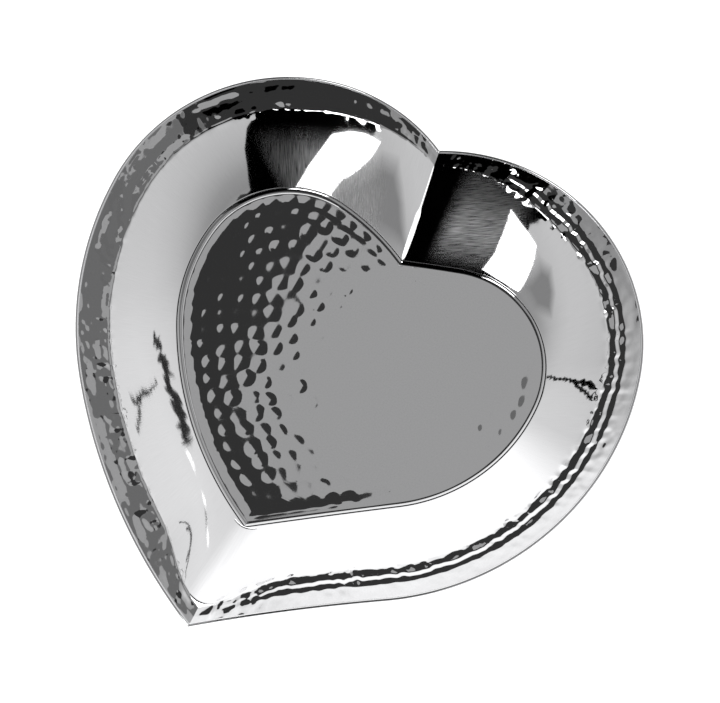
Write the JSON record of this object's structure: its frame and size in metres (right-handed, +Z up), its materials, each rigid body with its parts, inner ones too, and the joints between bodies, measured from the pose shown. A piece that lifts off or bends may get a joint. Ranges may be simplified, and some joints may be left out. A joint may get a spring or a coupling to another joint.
{
  "type": "heart-shaped dish",
  "caption": "Open heart-shaped dish in polished hammered metal: flat dimpled floor, smooth sloping walls, hammered gutter-like flange with a rounded edge bead, on small rubber pads.",
  "frame": {"origin": "centre of the heart's footprint box, at the level the pads stand on", "axes": "+Z up out of the dish, +Y from the tip towards the cleft, +X to the right lobe seen from above"},
  "size_m": [0.1996, 0.195, 0.0218],
  "materials": {
    "polished_metal": "mirror polish with fine radial brush lines",
    "hammered_metal": "polished over round hammer marks",
    "pad_rubber": "matt"
  },
  "bodies": {
    "root": {"floor_plate": "hammered_metal", "wall_left": "polished_metal", "wall_right": "polished_metal", "rim_left": "hammered_metal", "rim_right": "hammered_metal", "edge_bead": "polished_metal", "cleft_seam": "polished_metal", "tip_seam": "polished_metal", "foot_pad_1": "pad_rubber", "foot_pad_2": "pad_rubber", "foot_pad_3": "pad_rubber", "foot_pad_4": "pad_rubber"}
  },
  "joints": []
}
